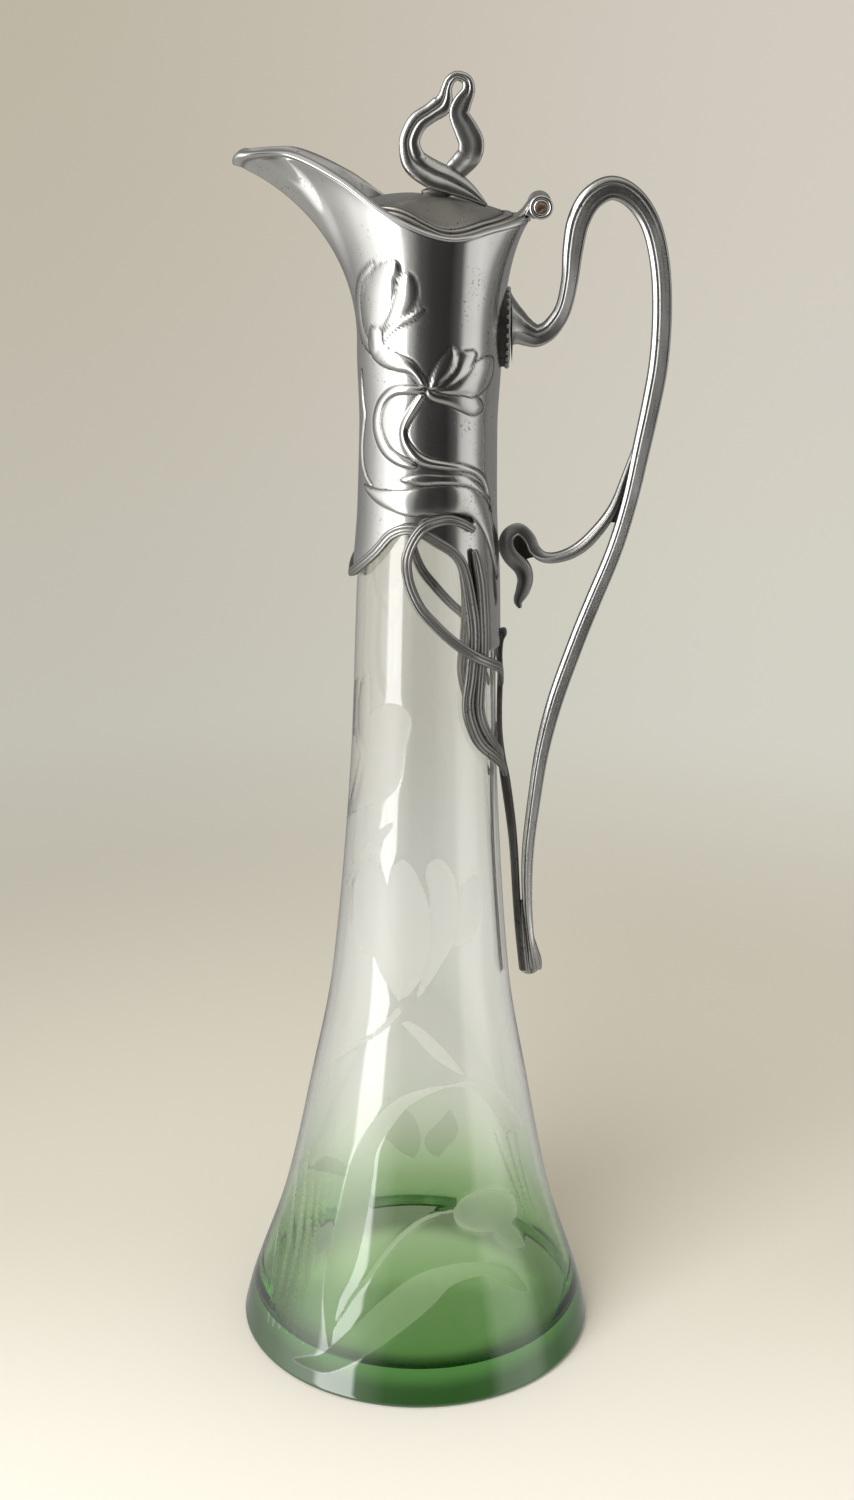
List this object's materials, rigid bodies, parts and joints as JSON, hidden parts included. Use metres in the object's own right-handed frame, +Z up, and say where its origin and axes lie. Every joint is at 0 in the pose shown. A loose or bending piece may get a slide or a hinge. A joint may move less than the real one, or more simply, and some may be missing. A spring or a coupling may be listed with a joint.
{
  "type": "glass ewer",
  "caption": "Tall flared glass ewer with a metal collar drawn into a spout, a hinged domed lid with an openwork finial, and a whiplash handle, for serving wine.",
  "frame": {"origin": "centre of the glass foot's underside, on the surface the ewer stands on", "axes": "+Z up along the neck, the spout towards -X, the handle and the hinge towards +X"},
  "size_m": [0.127, 0.1148, 0.4002],
  "materials": {
    "glass": "clear blown glass running to green at the foot, with matt wheel-cut flowers",
    "plaster": "matt cast plaster",
    "silver_plate": "polished silver plate, worn bright on its edges",
    "aged_silver": "silver plate with dark patina in its hollows",
    "pin_metal": "dark worn metal"
  },
  "bodies": {
    "ewer": {"glass_body": "glass", "plaster_bedding": "plaster", "collar": "silver_plate", "edge_stem_near": "aged_silver", "edge_stem_far": "aged_silver", "back_stem_near": "aged_silver", "back_stem_far": "aged_silver", "loop_tendril_near": "aged_silver", "loop_tendril_far": "aged_silver", "strut": "aged_silver", "handle_plate": "silver_plate", "handle_bar": "silver_plate", "handle_scroll": "silver_plate", "hinge_knuckle_near": "silver_plate", "hinge_knuckle_far": "silver_plate", "hinge_pin": "pin_metal"},
    "lid": {"lid": "silver_plate", "lid_knuckle": "silver_plate", "finial": "silver_plate"}
  },
  "joints": [
    {"name": "lid_hinge", "type": "hinge", "parent": "ewer", "child": "lid", "pos_m": [0.03083, 0, 0.3643], "axis": [0, 1, 0], "range_deg": [0, 105]}
  ]
}
